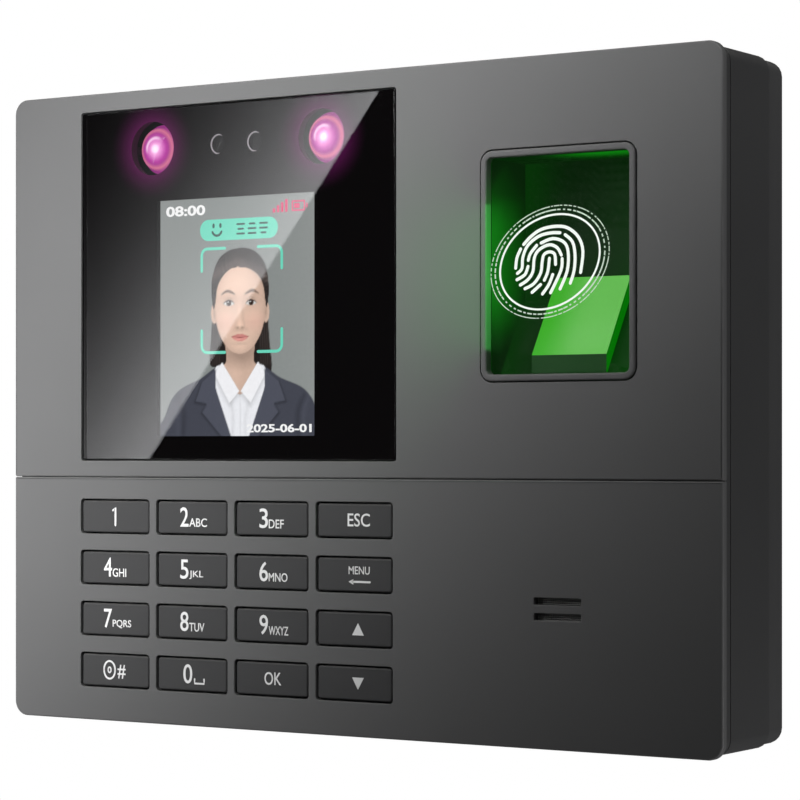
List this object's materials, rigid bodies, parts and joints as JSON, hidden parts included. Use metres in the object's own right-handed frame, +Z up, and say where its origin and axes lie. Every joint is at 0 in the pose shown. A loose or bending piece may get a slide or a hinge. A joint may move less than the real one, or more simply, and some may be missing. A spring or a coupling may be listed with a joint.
{
  "type": "fingerprint scanner terminal",
  "caption": "Wall-mounted terminal with a lit finger recess, a black display window with face cameras, a keypad and a rear bracket that it lifts off.",
  "frame": {"origin": "middle of the wall bracket's flat rear face, on the wall plane", "axes": "+Y into the wall, so the front faces -Y; +X to the right as seen from the front; +Z up"},
  "size_m": [0.182, 0.0314, 0.142],
  "materials": {
    "panel_plastic": "fine matte moulded texture",
    "housing_plastic": "fine matte moulded texture",
    "key_plastic": "fine matte with printed legends",
    "bezel_plastic": "satin moulded plastic",
    "well_plastic": "satin plastic lit green from below",
    "window_glass": "back-printed black glass, polished",
    "display_glass": "lit colour display",
    "prism_glass": "polished glass lit green",
    "led_lens": "clear lens over a glowing chip",
    "camera_black": "polished black lens barrel",
    "circuit_board": "solder mask",
    "white_plastic": "moulded light box",
    "black_plastic": "moulded",
    "silicone": "soft moulded",
    "foam": "closed-cell foam",
    "cell_wrap": "shrink film",
    "flex_cable": "polyimide film",
    "plated_steel": "bright plated",
    "zinc_steel": "zinc-plated sheet"
  },
  "bodies": {
    "wall_mount": {"wall_bracket": "zinc_steel"},
    "terminal": {"backup_battery": "cell_wrap", "clock_cell": "plated_steel", "display_gasket": "foam", "display_ribbon": "flex_cable", "display_window": "window_glass", "face_board": "circuit_board", "face_camera_left": "camera_black", "face_camera_right": "camera_black", "finger_bezel": "bezel_plastic", "finger_board": "circuit_board", "finger_camera": "camera_black", "finger_lamp_strip": "circuit_board", "finger_prism": "prism_glass", "finger_well": "well_plastic", "front_lower_panel": "panel_plastic", "front_upper_panel": "panel_plastic", "infrared_lamp_left": "led_lens", "infrared_lamp_right": "led_lens", "keypad_board": "circuit_board", "keypad_mat": "silicone", "keypad_ribbon": "flex_cable", "lcd_backlight": "white_plastic", "lcd_panel": "display_glass", "main_board": "circuit_board", "main_housing": "housing_plastic", "power_socket": "black_plastic", "rear_cover": "housing_plastic", "rear_screw_lower_left": "plated_steel", "rear_screw_lower_right": "plated_steel", "rear_screw_upper_left": "plated_steel", "rear_screw_upper_right": "plated_steel", "shield_can": "plated_steel", "speaker": "black_plastic", "usb_port": "plated_steel"},
    "key_0": {"key_0": "key_plastic"},
    "key_1": {"key_1": "key_plastic"},
    "key_2": {"key_2": "key_plastic"},
    "key_3": {"key_3": "key_plastic"},
    "key_4": {"key_4": "key_plastic"},
    "key_5": {"key_5": "key_plastic"},
    "key_6": {"key_6": "key_plastic"},
    "key_7": {"key_7": "key_plastic"},
    "key_8": {"key_8": "key_plastic"},
    "key_9": {"key_9": "key_plastic"},
    "key_down": {"key_down": "key_plastic"},
    "key_esc": {"key_esc": "key_plastic"},
    "key_menu": {"key_menu": "key_plastic"},
    "key_ok": {"key_ok": "key_plastic"},
    "key_power": {"key_power": "key_plastic"},
    "key_up": {"key_up": "key_plastic"}
  },
  "joints": [
    {"name": "terminal_lift", "type": "slide", "parent": "wall_mount", "child": "terminal", "axis": [0, 0, 1], "range_m": [0, 0.005]},
    {"name": "key_0_press", "type": "slide", "parent": "terminal", "child": "key_0", "axis": [0, 1, 0], "range_m": [0, 0.001], "stiffness_N_per_m": 800, "springref_m": -0.0006},
    {"name": "key_1_press", "type": "slide", "parent": "terminal", "child": "key_1", "axis": [0, 1, 0], "range_m": [0, 0.001], "stiffness_N_per_m": 800, "springref_m": -0.0006},
    {"name": "key_2_press", "type": "slide", "parent": "terminal", "child": "key_2", "axis": [0, 1, 0], "range_m": [0, 0.001], "stiffness_N_per_m": 800, "springref_m": -0.0006},
    {"name": "key_3_press", "type": "slide", "parent": "terminal", "child": "key_3", "axis": [0, 1, 0], "range_m": [0, 0.001], "stiffness_N_per_m": 800, "springref_m": -0.0006},
    {"name": "key_4_press", "type": "slide", "parent": "terminal", "child": "key_4", "axis": [0, 1, 0], "range_m": [0, 0.001], "stiffness_N_per_m": 800, "springref_m": -0.0006},
    {"name": "key_5_press", "type": "slide", "parent": "terminal", "child": "key_5", "axis": [0, 1, 0], "range_m": [0, 0.001], "stiffness_N_per_m": 800, "springref_m": -0.0006},
    {"name": "key_6_press", "type": "slide", "parent": "terminal", "child": "key_6", "axis": [0, 1, 0], "range_m": [0, 0.001], "stiffness_N_per_m": 800, "springref_m": -0.0006},
    {"name": "key_7_press", "type": "slide", "parent": "terminal", "child": "key_7", "axis": [0, 1, 0], "range_m": [0, 0.001], "stiffness_N_per_m": 800, "springref_m": -0.0006},
    {"name": "key_8_press", "type": "slide", "parent": "terminal", "child": "key_8", "axis": [0, 1, 0], "range_m": [0, 0.001], "stiffness_N_per_m": 800, "springref_m": -0.0006},
    {"name": "key_9_press", "type": "slide", "parent": "terminal", "child": "key_9", "axis": [0, 1, 0], "range_m": [0, 0.001], "stiffness_N_per_m": 800, "springref_m": -0.0006},
    {"name": "key_down_press", "type": "slide", "parent": "terminal", "child": "key_down", "axis": [0, 1, 0], "range_m": [0, 0.001], "stiffness_N_per_m": 800, "springref_m": -0.0006},
    {"name": "key_esc_press", "type": "slide", "parent": "terminal", "child": "key_esc", "axis": [0, 1, 0], "range_m": [0, 0.001], "stiffness_N_per_m": 800, "springref_m": -0.0006},
    {"name": "key_menu_press", "type": "slide", "parent": "terminal", "child": "key_menu", "axis": [0, 1, 0], "range_m": [0, 0.001], "stiffness_N_per_m": 800, "springref_m": -0.0006},
    {"name": "key_ok_press", "type": "slide", "parent": "terminal", "child": "key_ok", "axis": [0, 1, 0], "range_m": [0, 0.001], "stiffness_N_per_m": 800, "springref_m": -0.0006},
    {"name": "key_power_press", "type": "slide", "parent": "terminal", "child": "key_power", "axis": [0, 1, 0], "range_m": [0, 0.001], "stiffness_N_per_m": 800, "springref_m": -0.0006},
    {"name": "key_up_press", "type": "slide", "parent": "terminal", "child": "key_up", "axis": [0, 1, 0], "range_m": [0, 0.001], "stiffness_N_per_m": 800, "springref_m": -0.0006}
  ]
}
